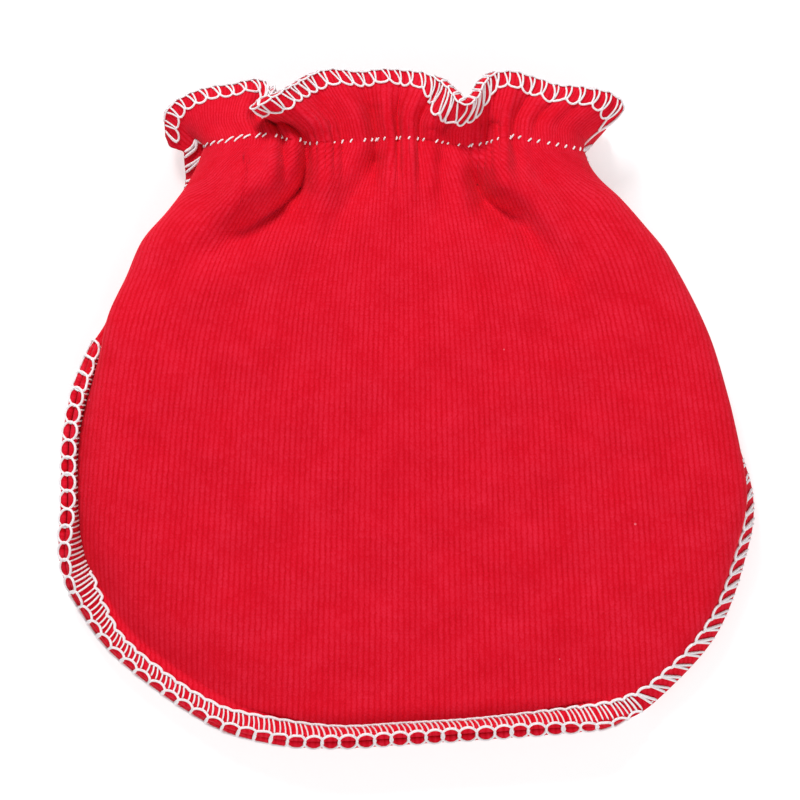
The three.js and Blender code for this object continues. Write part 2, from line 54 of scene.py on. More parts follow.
# The seam, from the left of the wrist round the fingertips to the right of the wrist.
# x, y: outline from above; inset: from the outline in to the seam; lift: height of the seam;
# tilt: slope of the seam allowance; lean: slope of the front wall at the seam, over 90 where it
# bulges past the seam; handle: how strongly the wall keeps that slope; reach: width of the side.
SEAM_COLUMNS = ("x", "y", "inset", "lift", "tilt", "lean", "handle", "reach")
SEAM = [
    (-28.7, 34.6, 3.1, 4.2, -18, 114, 3.6, 5.0),
    (-29.6, 30.6, 3.5, 4.4, -50, 142, 6.3, 4.9),
    (-32.1, 26.9, 3.8, 4.5, -62, 146, 7.5, 5.4),
    (-35.2, 22.8, 3.9, 4.6, -62, 150, 8.6, 6.8),
    (-37.5, 17.7, 3.8, 4.5, -60, 150, 8.6, 8.2),
    (-39.7, 12.5, 4.1, 4.3, -11, 150, 11.0, 9.2),
    (-42.4, 6.8, 3.2, 3.5, 40, 127, 8.2, 10.0),
    (-44.7, 2.1, 2.4, 2.8, 70, 97, 6.4, 10.8),
    (-45.9, -4.0, 1.9, 2.3, 80, 85, 6.4, 12.0),
    (-46.1, -12.7, 1.9, 2.1, 80, 82, 6.4, 13.0),
    (-45.5, -20.3, 2.5, 1.8, 54, 64, 5.8, 13.0),
    (-43.1, -26.3, 3.4, 1.6, 22, 52, 5.2, 12.4),
    (-38.4, -32.8, 3.6, 1.5, 14, 48, 4.8, 12.0),
    (-26.3, -41.6, 3.6, 1.5, 22, 46, 4.6, 12.6),
    (-17.6, -44.6, 3.2, 1.6, 48, 54, 4.6, 14.0),
    (-9.3, -45.3, 2.3, 1.7, 70, 66, 5.0, 15.0),
    (0.3, -44.8, 2.2, 1.7, 72, 68, 5.0, 15.0),
    (11.0, -44.1, 2.2, 1.8, 72, 68, 5.0, 15.0),
    (23.3, -42.8, 2.9, 2.1, 50, 60, 5.0, 14.0),
    (33.6, -38.4, 3.1, 3.3, -36, 66, 5.2, 12.6),
    (41.7, -29.5, 2.6, 3.9, -54, 86, 5.6, 12.0),
    (46.0, -17.0, 2.1, 4.3, -64, 96, 6.2, 11.0),
    (46.4, -11.3, 2.2, 4.3, -64, 116, 6.8, 10.0),
    (45.5, -5.2, 3.2, 4.3, -60, 136, 7.8, 9.6),
    (43.6, 2.4, 3.7, 4.4, -60, 148, 8.4, 9.2),
    (40.8, 10.9, 3.8, 4.5, -60, 150, 8.6, 8.8),
    (35.6, 20.8, 3.8, 4.5, -62, 150, 8.4, 7.4),
    (32.4, 25.0, 3.8, 4.5, -64, 150, 7.8, 6.0),
    (29.1, 28.9, 3.4, 4.4, -66, 146, 6.4, 5.0),
    (26.0, 32.0, 3.1, 4.3, -68, 140, 5.2, 4.7),
    (24.9, 34.2, 2.9, 4.3, -70, 134, 4.6, 5.0),
]
WRIST_TURN = 6
WRIST_BLEND = 0.07
WRIST_SLOPE = 0.2
BACK_REACH = 6.5
FAN_BEND = 0.72
FAN_CROWDING = 1.35

# Height of the front over the table along the middle, lower towards the sides.
CROWN = [
    (-46, 3.4), (-38, 4.6), (-28, 6.4), (-15, 9.0), (0, 11.6),
    (10, 12.8), (22, 13.4), (30, 12.6), (36, 10.6),
]
CROWN_SIDE_DROP = 0.12
HALF_WIDTH = 46

# The gather line across the front of the wrist: x, y.
WRIST_LINE = [
    (-26, 34.6), (-20.5, 36.4), (-11, 35.5), (0, 36.1),
    (10.5, 35.2), (14.5, 36.3), (19.5, 35.3), (23, 34.3),
]

# Creases: width, depth (below zero for a trough), path.
FRONT_FOLDS = [
    (1.1, -1.6, [(-12.2, 34.8), (-13.4, 29.8), (-16.4, 26.8), (-21.5, 24.2)]),
    (2.6, -2.1, [(-12.6, 33.0), (-15.4, 27.0), (-22.5, 22.8), (-32.0, 18.6)]),
    (2.4, 1.6, [(-16.6, 34.4), (-17.8, 31.0), (-21.5, 28.2), (-29.0, 23.0)]),
    (4.2, 0.8, [(-20.5, 33.0), (-27.5, 26.5)]),
    (1.3, -0.55, [(-20.4, 34.6), (-25.2, 28.6), (-29.5, 23.0)]),
    (1.2, -0.5, [(-8.2, 35.4), (-8.8, 29.6)]),
    (2.0, -2.6, [(-3.7, 35.0), (-5.2, 30.6), (-9.4, 24.0)]),
    (2.2, 1.1, [(-9.4, 33.4), (-11.6, 27.0)]),
    (1.8, -0.9, [(3.9, 35.0), (5.0, 29.0), (4.6, 22.0)]),
    (1.2, -0.5, [(3.7, 35.8), (4.4, 29.2)]),
    (8.0, -0.6, [(-1.0, 30.0), (1.0, 4.0)]),
    (1.0, -1.1, [(8.1, 35.3), (8.9, 31.4), (10.6, 28.2), (13.6, 26.8)]),
    (2.3, -3.4, [(8.3, 33.6), (10.8, 27.6), (15.2, 25.4), (20.5, 18.0)]),
    (2.2, 1.9, [(11.4, 34.0), (12.6, 30.6), (16.4, 28.2), (21.5, 23.0)]),
    (2.2, -1.0, [(17.0, 33.5), (21.5, 28.5), (26.5, 23.0)]),
    (1.2, -0.5, [(20.6, 34.0), (26.4, 28.2)]),
]
# Folds of the ruffle between the gather line and the hem.
RUFFLE_FOLDS = [
    (1.4, -3.0, [(-19.6, 38.9), (-16.2, 38.5), (-11.4, 35.7)]),
    (1.5, -1.2, [(4.1, 38.4), (6.0, 36.4)]),
    (1.5, -1.4, [(12.4, 38.6), (11.4, 36.6)]),
    (1.4, -0.6, [(-4.0, 41.0), (-4.3, 36.5)]),
    (1.6, -0.7, [(17.8, 41.0), (17.0, 36.4)]),
    (1.5, -0.7, [(-26.0, 38.0), (-22.0, 36.2)]),
]
# Creases of the underside lift off the table.
BACK_FOLDS = [
    (1.8, 0.95, [(12.2, 34.6), (13.4, 28.0), (19.5, 22.5), (25.0, 16.0)]),
    (1.5, 0.7, [(-7.4, 34.8), (-8.6, 28.4), (-13.5, 23.6), (-19.0, 17.0)]),
    (1.2, 0.5, [(2.3, 35.0), (3.1, 27.2)]),
    (1.4, 0.45, [(-17.5, 33.6), (-22.4, 28.2)]),
]

# Gathers on both sides of the gather line, and the finer puckers between them.
GATHER = {"pitch": 3.7, "height": 0.75, "fade": 6.0, "drift": 0.32, "drift_pitch": 17, "end": 0.13}
PUCKER = {"pitch": 1.6, "height": 0.22, "fade": 3.6, "drift": 0.9, "drift_pitch": 11}
BACK_GATHER = 0.55
PINCH = {"depth": 0.75, "width": 1.0}

# Hems of the ruffle from the left seam to the right seam: x, y, z.
FRONT_HEM = [
    (-31.9, 39.8, 4.9), (-30.0, 41.5, 5.4), (-26.2, 42.8, 5.6), (-22.9, 43.2, 5.4),
    (-19.6, 43.8, 4.9), (-18.0, 43.2, 5.3), (-17.6, 42.3, 7.3), (-18.4, 41.3, 9.2),
    (-19.6, 40.7, 10.8), (-19.9, 40.4, 12.6), (-18.6, 41.1, 13.9), (-16.6, 42.1, 13.2),
    (-14.7, 43.3, 11.0), (-11.3, 45.0, 9.2), (-6.0, 45.1, 8.4), (0.3, 45.2, 8.6),
    (4.8, 44.0, 10.2), (6.8, 42.2, 12.8), (8.0, 40.9, 14.6), (9.3, 41.8, 13.0),
    (10.3, 43.7, 10.4), (12.5, 45.0, 8.4), (17.5, 44.2, 7.2), (20.0, 43.2, 7.6),
    (24.6, 42.8, 7.6), (27.6, 42.0, 6.9), (28.9, 40.7, 5.9), (28.0, 39.5, 5.2),
    (26.2, 38.6, 4.7),
]
BACK_HEM = [
    (-31.7, 39.6, 3.5), (-27.5, 41.3, 2.2), (-22.5, 41.4, 0.6), (-17.5, 41.2, 2.6),
    (-12.5, 41.5, 0.6), (-7.5, 41.8, 2.8), (-2.5, 41.6, 0.6), (2.0, 41.2, 2.6),
    (6.5, 40.4, 0.6), (11.0, 40.8, 2.8), (15.5, 41.3, 0.6), (19.8, 41.0, 2.4),
    (22.8, 40.0, 1.4), (24.8, 38.4, 3.9),
]
FOLD_START = 0.25
RUFFLE_PUFF = 0.45
RUFFLE_GATHER = 0.4
LEFT_CORNER = (-31.5, 37.1, 2.6)
RIGHT_CORNER = (26.3, 37.9, 1.0)

# The flat cut is wider than the gathered wrist, by this much, fading over this length.
CUT_FULLNESS = 0.85
CUT_FADE = 8.5
WRIST_Y = 35

# Knit: distance between wales and between courses, and how the wales lean outwards downwards.
WALE = 0.72
COURSE = 0.56
WALE_FAN = 0.002

# Overlock on the seam and on the hem: needle and chain are depths, slant and spread are shares of
# the pitch, bar, line and loop are thread radii.
SEAM_STITCH = {
    "pitch": 2.3, "tighten": 0.16, "width": 3.7, "needle": 0.45, "scallop": 0.16, "chain": 0.7,
    "sunk": 1.0, "raised": 1.2, "dense": True, "first": 0.6, "clear": 0.0, "round": 0.54, "slant": 0.55, "spread": 0.37, "bar": 0.145, "line": 0.2, "loop": 0.175,
}
HEM_STITCH = {
    "pitch": 1.75, "tighten": 0.0, "width": 2.5, "needle": 0.2, "scallop": 0.3, "chain": 0.22,
    "sunk": 0.0, "raised": 0.0, "dense": False, "first": -1.0, "clear": 5.0, "round": 0.54, "slant": -0.5, "spread": 0.46, "bar": 0.13, "line": 0.15, "loop": 0.13,
}
KNOT_PLACE = 0.7
# Width of the hem overlock along the front, as a share of its usual width: x, share.
HEM_BAND = [
    (-32, 0.8), (-22, 0.8), (-18, 1.0), (-12, 0.95), (-4, 0.75), (2, 0.85), (5, 1.3), (7.5, 1.8),
    (9.5, 1.3), (12, 0.9), (20, 1.05), (29, 1.05),
]
GATHER_STITCH = {"pitch": 1.24, "length": 0.62, "rise": 55, "radius": 0.115}
LEFT_STITCH = {"x": -17.0, "length": 1.35, "rise": 30}

ELASTIC = {"height": 2.4, "thickness": 0.7, "clearance": 0.42, "drop": 1.45, "cords": 5, "cord_height": 0.11}

# The camera looks straight down at this place; the frame is this wide at this height.
VIEW = {"x": -0.53, "y": 1.33, "width": 106.67, "plane": 5.0, "distance": 1400.0, "sensor": 36.0}

rng = np.random.RandomState(23)


# Curves and small helpers

def smooth_step(value):
    t = np.clip(value, 0, 1)
    return t * t * (3 - 2 * t)


def unit(vectors):
    length = np.linalg.norm(vectors, axis=-1, keepdims=True)
    return vectors / np.maximum(length, 1e-9)


def arc(a, b, c, t):
    s = 1 - t
    return s * s * a + 2 * s * t * b + t * t * c


def bezier(a, b, c, d, t):
    s = 1 - t
    return s**3 * a + 3 * s * s * t * b + 3 * s * t * t * c + t**3 * d


class Track:
    """Smooth curve through table rows, every column read at the same knots."""

    def __init__(self, rows, columns, length_of=(), knot=None):
        self.columns = {name: np.array([row[i] for row in rows], float) for i, name in enumerate(columns)}
        if knot:
            self.knots = self.columns[knot]
        else:
            steps = np.sqrt(sum(np.diff(self.columns[name]) ** 2 for name in length_of))
            self.knots = np.concatenate([[0], np.cumsum(steps)])
        self.length = self.knots[-1]

    def at(self, position, name):
        values, knots = self.columns[name], self.knots
        last = len(knots) - 1
        order = np.arange(last + 1)
        before, after = np.maximum(order - 1, 0), np.minimum(order + 1, last)
        slope = (values[after] - values[before]) / (knots[after] - knots[before])
        i = np.clip(np.searchsorted(knots, position) - 1, 0, last - 1)
        span = knots[i + 1] - knots[i]
        t = np.clip((position - knots[i]) / span, 0, 1)
        return (
            (2 * t**3 - 3 * t**2 + 1) * values[i]
            + (t**3 - 2 * t**2 + t) * span * slope[i]
            + (3 * t**2 - 2 * t**3) * values[i + 1]
            + (t**3 - t**2) * span * slope[i + 1]
        )


seam_track = Track(SEAM, SEAM_COLUMNS, length_of=("x", "y"))
crown_track = Track(CROWN, ("y", "height"), knot="y")
wrist_track = Track(WRIST_LINE, ("x", "y"), knot="x")


def seam_frames(share):
    """The seam at shares of its length: line, inward, allowance and upper directions, and the wall's slopes."""
    position = share * seam_track.length
    half_step = 3.0
    ahead = np.minimum(seam_track.length, position + half_step)
    behind = np.maximum(0, position - half_step)
    dx = seam_track.at(ahead, "x") - seam_track.at(behind, "x")
    dy = seam_track.at(ahead, "y") - seam_track.at(behind, "y")
    size = np.hypot(dx, dy)
    turn = smooth_step(np.minimum(position, seam_track.length - position) / WRIST_TURN)
    across_wrist = np.where(share < 0.5, 1.0, -1.0)
    inward = unit(np.stack([
        -dy / size * turn + across_wrist * (1 - turn),
        dx / size * turn + WRIST_SLOPE * (1 - turn),
        np.zeros_like(share),
    ], axis=-1))
    tilt = np.radians(seam_track.at(position, "tilt"))
    up = np.array([0, 0, 1.0])
    cos, sin = np.cos(tilt)[:, None], np.sin(tilt)[:, None]
    line = np.stack([seam_track.at(position, "x"), seam_track.at(position, "y"), seam_track.at(position, "lift")], -1)
    line += inward * seam_track.at(position, "inset")[:, None]
    return {
        "line": line,
        "inward": inward,
        "allowance": -inward * cos + up * sin,
        "upper": inward * sin + up * cos,
        "lean": np.radians(seam_track.at(position, "lean")),
        "handle": seam_track.at(position, "handle"),
        "reach": seam_track.at(position, "reach"),
    }


def fold_height(x, y, folds):
    """Height of the creases at places x, y."""
    height = np.zeros_like(x)
    for width, depth, path in folds:
        nearest = np.full(x.shape, np.inf)
        along = np.zeros_like(x)
        spans = len(path) - 1
        for i in range(spans):
            (ax, ay), (bx, by) = path[i], path[i + 1]
            raw = ((x - ax) * (bx - ax) + (y - ay) * (by - ay)) / ((bx - ax) ** 2 + (by - ay) ** 2)
            t = np.clip(raw, 0, 1)
            distance = np.hypot(x - ax - t * (bx - ax), y - ay - t * (by - ay))
            closer = distance < nearest
            nearest = np.where(closer, distance, nearest)
            along = np.where(closer, (i + t) / spans, along)
        fade = (0.45 + 0.55 * smooth_step(along / 0.2)) * (1 - 0.75 * smooth_step((along - 0.45) / 0.55))
        height += depth * fade * np.exp(-((nearest / width) ** 2))
    return height


def crown_height(x, y):
    side = 1 - CROWN_SIDE_DROP * (x / HALF_WIDTH) ** 2
    return crown_track.at(y, "height") * side + fold_height(x, y, FRONT_FOLDS)


def unevenness(x, y):
    """Slight hand-laid waviness of the cloth."""
    return (
        0.10 * np.sin(0.42 * x + 0.31 * y + 1.3)
        + 0.08 * np.sin(-0.27 * x + 0.55 * y + 4.1)
        + 0.05 * np.sin(0.91 * x - 0.23 * y + 2.2)
        + 0.03 * np.sin(0.63 * x + 1.31 * y + 0.4)
    )


def wave(x, spec):
    drift = spec["drift"] * np.sin(2 * math.pi * x / spec["drift_pitch"])
    return np.sin(2 * math.pi * (x / spec["pitch"] + drift))


def front_side(frames, share):
    """Rounded side of the front: stations by shares, 0 at the seam and 1 at the crown."""
    start = frames["line"] + frames["upper"] * LAYER_OFFSET
    start = start + np.maximum(0, frames["allowance"][:, 2:]) * np.array([0, 0, SEAM_ROLL])
    lean, handle, reach = frames["lean"][:, None], frames["handle"][:, None], frames["reach"][:, None]
    across = bezier(0, handle * np.cos(lean), 0.45 * reach, reach, share)
    x = start[:, :1] + frames["inward"][:, :1] * across
    y = start[:, 1:2] + frames["inward"][:, 1:2] * across
    crown = crown_height(x, y) + unevenness(x, y) * share
    low = start[:, 2:]
    rise = np.minimum(handle * np.sin(lean), 0.8 * (crown - low))
    return np.stack([x, y, bezier(low, low + rise, crown, crown, share)], axis=-1)


def back_side(frames, share):
    """Curved edge of the back, from the seam down to the table."""
    start = frames["line"] - frames["upper"] * LAYER_OFFSET
    across = BACK_REACH * share
    x = start[:, :1] + frames["inward"][:, :1] * across
    y = start[:, 1:2] + frames["inward"][:, 1:2] * across
    low = CLOTH / 2
    z = low + (start[:, 2:] - low) * (1 - share) ** 2 + fold_height(x, y, BACK_FOLDS) * share**2
    return np.stack([x, y, z], axis=-1)


def wrist_row_place(start, end, share):
    """Places on the gather line, at shares of the way between its ends."""
    x = start[0] + (end[0] - start[0]) * share
    straight = start[1] + (end[1] - start[1]) * share
    from_end = np.minimum(share, 1 - share)
    blend = smooth_step(from_end / WRIST_BLEND)
    y = straight + (wrist_track.at(x, "y") - straight) * blend
    return x, y, smooth_step(from_end / GATHER["end"])


def cut_scale(y):
    return 1 + CUT_FULLNESS * np.exp(-np.maximum(0, WRIST_Y - y) / CUT_FADE)


# Sheets of cloth

class Sheet:
    """Points of a cloth's middle surface, with the place of each on the flat cut."""

    def __init__(self):
        self.points = []
        self.cuts = []
        self.count = 0
        self.faces = []

    def add(self, points, cuts):
        """Adds a block of points and returns their numbers in the same shape."""
        shape = points.shape[:-1]
        self.points.append(points.reshape(-1, 3))
        self.cuts.append(cuts.reshape(-1, 2))
        numbers = np.arange(self.count, self.count + int(np.prod(shape))).reshape(shape)
        self.count += numbers.size
        return numbers

    def weave(self, grid, flip):
        a, b, c, d = grid[:-1, :-1], grid[1:, :-1], grid[1:, 1:], grid[:-1, 1:]
        corners = (a, d, c, b) if flip else (a, b, c, d)
        self.faces.append(np.stack(corners, axis=-1).reshape(-1, 4))

    def close(self):
        self.points = np.concatenate(self.points)
        self.cuts = np.concatenate(self.cuts)
        quads = np.concatenate(self.faces)
        triangles = np.concatenate([quads[:, [0, 1, 2]], quads[:, [0, 2, 3]]])
        real = (
            (triangles[:, 0] != triangles[:, 1])
            & (triangles[:, 1] != triangles[:, 2])
            & (triangles[:, 0] != triangles[:, 2])
        )
        self.triangles = triangles[real]
        a, b, c = (self.points[self.triangles[:, i]] for i in range(3))
        cross = np.cross(b - a, c - a)
        normals = np.zeros_like(self.points)
        for i in range(3):
            np.add.at(normals, self.triangles[:, i], cross)
        self.normals = unit(normals)

    def flat_size(self):
        """Width, length and area of the flat cut, in metres."""
        span = (self.cuts.max(0) - self.cuts.min(0)) * MM
        a, b, c = (self.cuts[self.triangles[:, i]] for i in range(3))
        twice = (b[:, 0] - a[:, 0]) * (c[:, 1] - a[:, 1]) - (b[:, 1] - a[:, 1]) * (c[:, 0] - a[:, 0])
        return span[0], span[1], abs(twice).sum() / 2 * MM * MM

    def shell(self, name, thickness):
        """A closed thin shell of even thickness round the middle surface."""
        half = thickness / 2
        above = self.points + self.normals * half
        below = self.points - self.normals * half
        points = np.concatenate([above, below])
        points[:, 2] = np.maximum(0, points[:, 2])
        count = len(self.points)
        inner = self.triangles[:, ::-1] + count
        rim = boundary_edges(self.triangles)
        one, two = rim[:, 0], rim[:, 1]
        walls = np.stack([one, one + count, two + count, two], axis=-1)
        faces = self.triangles.tolist() + inner.tolist() + walls.tolist()
        cuts = np.concatenate([self.cuts, self.cuts])
        return make_mesh(name, points, faces, {"cut": np.column_stack([cuts, np.zeros(len(cuts))])})


def boundary_edges(triangles):
    edges = np.concatenate([triangles[:, [0, 1]], triangles[:, [1, 2]], triangles[:, [2, 0]]])
    low, high = edges.min(1), edges.max(1)
    key = low.astype(np.int64) * (edges.max() + 1) + high
    _, first, uses = np.unique(key, return_index=True, return_counts=True)
    return edges[first[uses == 1]]


def make_mesh(name, points, faces, attributes):
    """A smooth-shaded object from points in millimetres."""
    mesh = bpy.data.meshes.new(name)
    mesh.from_pydata((points * MM).tolist(), [], faces)
    for key, values in attributes.items():
        attribute = mesh.attributes.new(key, "FLOAT_VECTOR", "POINT")
        attribute.data.foreach_set("vector", values.astype(np.float32).ravel())
    mesh.polygons.foreach_set("use_smooth", np.ones(len(mesh.polygons), bool))
    mesh.update()
    piece = bpy.data.objects.new(name, mesh)
    bpy.context.scene.collection.objects.link(piece)
    return piece


def lengths_along(points):
    """Running length along the first axis."""
    steps = np.linalg.norm(np.diff(points, axis=0), axis=-1)
    return np.concatenate([np.zeros_like(steps[:1]), np.cumsum(steps, axis=0)])


def build_panel(steps, is_front):
    """One panel: rounded side, fan of gathers, seam allowance and ruffle."""
    sheet = Sheet()
    last = steps["along"]
    stations = np.arange(last + 1) / last
    frames = seam_frames(stations)
    side_share = (np.arange(steps["side"] + 1) / steps["side"])[None, :]
    ring = (front_side if is_front else back_side)(frames, side_share)
    rim = ring[:, -1]
    outward = -frames["inward"][:, :2]
    rim_cut = np.stack([rim[:, 0] * cut_scale(rim[:, 1]), rim[:, 1]], -1)
    depth = lengths_along(ring.swapaxes(0, 1)).swapaxes(0, 1)
    from_rim = depth[:, -1:] - depth
    stretch = np.stack([cut_scale(rim[:, 1]), np.ones(last + 1)], -1)
    ring_cut = rim_cut[:, None] + outward[:, None] * from_rim[..., None] * stretch[:, None]
    ring_ids = sheet.add(ring, ring_cut)

    wrist_x, wrist_y, ends = wrist_row_place(rim[0], rim[-1], stations)
    share = (np.arange(steps["fan"]) / steps["fan"])[None, :] ** FAN_CROWDING
    wx, wy, rx, ry = wrist_x[:, None], wrist_y[:, None], rim[:, :1], rim[:, 1:2]
    x = arc(wx, wx, rx, share)
    y = arc(wy, wy + FAN_BEND * (ry - wy), ry, share)
    away = np.hypot(x - wx, y - wy)
    z = fan_height(x, y, away, wx, ends[:, None], is_front)
    fan_cut = np.stack([x * cut_scale(y), y], -1)
    fan_ids = sheet.add(np.stack([x, y, z], -1)[1:-1], fan_cut[1:-1])
    fan_grid = np.empty((last + 1, steps["fan"] + 1), int)
    fan_grid[1:-1, :-1] = fan_ids
    fan_grid[:, -1] = ring_ids[:, -1]
    fan_grid[0], fan_grid[-1] = ring_ids[0, -1], ring_ids[-1, -1]

    widths = np.arange(1, steps["allowance"] + 1) / steps["allowance"] * SEAM_ALLOWANCE
    flange = ring[:, :1] + frames["allowance"][:, None] * widths[None, :, None]
    flange_cut = ring_cut[:, :1] + outward[:, None] * widths[None, :, None]
    flange_ids = np.concatenate([ring_ids[:, :1], sheet.add(flange, flange_cut)], axis=1)

    sheet.weave(ring_ids, False)
    sheet.weave(fan_grid, True)
    sheet.weave(flange_ids, True)
    ruffle_ids = add_ruffle(sheet, steps, ring_ids, fan_grid, is_front)
    sheet.weave(ruffle_ids, False)
    add_side_strips(sheet, steps, frames, ruffle_ids, flange_ids, is_front)
    sheet.close()
    sheet.frames = frames
    sheet.ring_ids, sheet.fan_grid, sheet.flange_ids, sheet.ruffle_ids = ring_ids, fan_grid, flange_ids, ruffle_ids
    return sheet


def fan_height(x, y, away, wrist_x, ends, is_front):
    fade = np.exp(-((away / GATHER["fade"]) ** 2)) * ends
    gathers = wave(wrist_x, GATHER)
    if not is_front:
        lifted = BACK_GATHER * (1 + gathers) / 2 * fade
        return CLOTH / 2 + lifted + fold_height(x, y, BACK_FOLDS)
    fine = wave(wrist_x, PUCKER) * PUCKER["height"] * np.exp(-((away / PUCKER["fade"]) ** 2)) * ends
    pinch = PINCH["depth"] * np.exp(-((away / PINCH["width"]) ** 2)) * ends
    return crown_height(x, y) + unevenness(x, y) + GATHER["height"] * gathers * fade + fine - pinch


def add_ruffle(sheet, steps, ring_ids, fan_grid, is_front):
    points = np.concatenate(sheet.points)
    cuts = np.concatenate(sheet.cuts)
    row = np.concatenate([ring_ids[0], fan_grid[1:-1, 0], ring_ids[-1][::-1]])
    wrist, wrist_cut = points[row], cuts[row]
    run = lengths_along(wrist)
    share = run / run[-1]
    hem_track = Track(FRONT_HEM if is_front else BACK_HEM, ("x", "y", "z"), length_of=("x", "y", "z"))
    hem = np.stack([hem_track.at(share * hem_track.length, key) for key in "xyz"], -1)
    even_x = hem[0, 0] + (hem[-1, 0] - hem[0, 0]) * share
    t = (np.arange(1, steps["ruffle"] + 1) / steps["ruffle"])[None, :]
    folded = smooth_step((t - FOLD_START) / (1 - FOLD_START))
    x = wrist[:, :1] + (even_x[:, None] - wrist[:, :1]) * t + (hem[:, :1] - even_x[:, None]) * folded
    y = wrist[:, 1:2] + (hem[:, 1:2] - wrist[:, 1:2]) * t
    z = wrist[:, 2:] + (hem[:, 2:] - wrist[:, 2:]) * t
    if is_front:
        ends = smooth_step(np.minimum(share, 1 - share) / 0.2)[:, None]
        puckers = wave(wrist[:, :1], GATHER) * ends * RUFFLE_GATHER
        z = z + (RUFFLE_PUFF * ends + puckers + fold_height(x, y, RUFFLE_FOLDS)) * np.sin(math.pi * t)
    height = np.linalg.norm(hem - wrist, axis=-1)[:, None]
    cut = np.stack([np.broadcast_to(wrist_cut[:, :1], z.shape), wrist_cut[:, 1:2] + t * height], -1)
    sheet.wrist_row = row
    return np.concatenate([row[:, None], sheet.add(np.stack([x, y, z], -1), cut)], axis=1)


def add_side_strips(sheet, steps, frames, ruffle_ids, flange_ids, is_front):
    """The seam allowance along both sides of the ruffle, up to its corners at the hem."""
    sheet.strips = []
    points = np.concatenate(sheet.points)
    cuts = np.concatenate(sheet.cuts)
    layer = LAYER_OFFSET if is_front else -LAYER_OFFSET
    widths = np.arange(1, steps["allowance"] + 1) / steps["allowance"]
    t = (np.arange(1, steps["ruffle"] + 1) / steps["ruffle"])[:, None]
    for end, corner, flip in ((0, LEFT_CORNER, False), (-1, RIGHT_CORNER, True)):
        column, base = ruffle_ids[end], flange_ids[end]
        tip = np.array(corner) + frames["upper"][end] * layer
        wrist_out = points[base[-1]] - points[base[0]]
        hem_out = tip - points[column[-1]]
        out = unit(wrist_out + (hem_out - wrist_out) * t) * SEAM_ALLOWANCE
        root = points[column[1:]]
        strip = root[:, None] + out[:, None] * widths[None, :, None]
        cut_out = np.array([1.0 if flip else -1.0, 0]) * SEAM_ALLOWANCE
        strip_cut = cuts[column[1:]][:, None] + cut_out * widths[None, :, None]
        ids = sheet.add(strip, strip_cut)
        grid = np.concatenate([base[None, :], np.concatenate([column[1:, None], ids], axis=1)], axis=0)
        sheet.weave(grid, flip)
        sheet.strips.append(grid)
    corner = sheet.strips[0][:, 1:CORNER_COLUMNS].T[::-1]
    sheet.hem_columns = np.concatenate([corner, ruffle_ids])


# Places on an edge: s along it, a out from the needle line, side 1 on top and -1 underneath

class Edge:
    """A strip of cloth beside an edge: rows of points from the edge inwards, and half the thickness there."""

    def __init__(self, grid, normals, half, spacing, width, upturn):
        self.grid, self.normals, self.half = grid, normals, half
        self.spacing, self.width, self.upturn = spacing, width, upturn
        self.run = lengths_along(grid[:, 0])
        self.length = self.bare_from = self.run[-1]
        self.steep = smooth_step((unit(grid[:, 0] - grid[:, -1])[:, 2] - STEEP["from"]) / STEEP["over"])

    def place(self, s, a, side, lift):
        """Points at s, a, on a side of the cloth from -1 to 1, lifted off it."""
        count, rows = self.grid.shape[:2]
        s = np.clip(s, 0, self.length)
        i = np.interp(s, self.run, np.arange(count))
        j = (self.width - a) / self.spacing
        i0 = np.clip(np.floor(i).astype(int), 0, count - 2)
        j0 = np.clip(np.floor(j).astype(int), 0, rows - 2)
        i_share, j_share = (i - i0)[:, None], (j - j0)[:, None]

        def read(block, across):
            near = block[i0, j0] * (1 - across) + block[i0, j0 + 1] * across
            far = block[i0 + 1, j0] * (1 - across) + block[i0 + 1, j0 + 1] * across
            return near * (1 - i_share) + far * i_share

        normal = unit(read(self.normals, np.clip(j_share, 0, 1)))
        half = np.interp(i, np.arange(count), self.half)
        return read(self.grid, j_share) + normal * (side * half + lift)[:, None]

    def grid_x(self, s):
        return np.interp(s, self.run, self.grid[:, 0, 0])

    def steep_at(self, s):
        """How steeply the edge stands up: 0 lying, 1 standing."""
        return np.interp(s, self.run, self.steep)

    def upturn_at(self, s):
        """How far the edge is turned up, where its chain shows from above: 0 to 1."""
        return np.interp(s, self.run, self.upturn)


EDGE_ROWS = 12
CORNER_COLUMNS = 5
UPTURN = {"from": 0.4, "over": 0.5}
STEEP = {"from": 0.3, "over": 0.55}


def seam_edge(front, back):
    """The seam allowance from the left corner of the hem, round the mitten, to the right corner."""
    share = len(front.frames["line"]) - 1
    bases, tips = [], []
    for sheet in (front, back):
        ring = sheet.flange_ids
        pick = np.linspace(0, len(ring) - 1, share + 1)
        low = np.floor(pick).astype(int).clip(0, len(ring) - 2)
        part = (pick - low)[:, None]
        root, tip = sheet.points[ring[:, 0]], sheet.points[ring[:, -1]]
        strips = sheet.strips
        left_root, right_root = (sheet.points[strip[1:, 0]] for strip in strips)
        left_tip, right_tip = (sheet.points[strip[1:, -1]] for strip in strips)
        bases.append(np.concatenate([left_root[::-1], root[low] * (1 - part) + root[low + 1] * part, right_root]))
        tips.append(np.concatenate([left_tip[::-1], tip[low] * (1 - part) + tip[low + 1] * part, right_tip]))
    base, tip = (bases[0] + bases[1]) / 2, (tips[0] + tips[1]) / 2
    depths = np.linspace(1, 0, EDGE_ROWS)[None, :, None]
    grid = base[:, None] + (tip - base)[:, None] * depths
    apart = (bases[0] - bases[1])[:, None] * (1 - depths) + (tips[0] - tips[1])[:, None] * depths
    half = np.linalg.norm(apart[:, 0], axis=-1) / 2 + CLOTH / 2
    upturn = smooth_step((unit(tip - base)[:, 2] + UPTURN["from"]) / UPTURN["over"])
    edge = Edge(grid, unit(apart), half, SEAM_ALLOWANCE / (EDGE_ROWS - 1), SEAM_ALLOWANCE, upturn)
    edge.bare_from = edge.run[-len(front.strips[1])]
    return edge


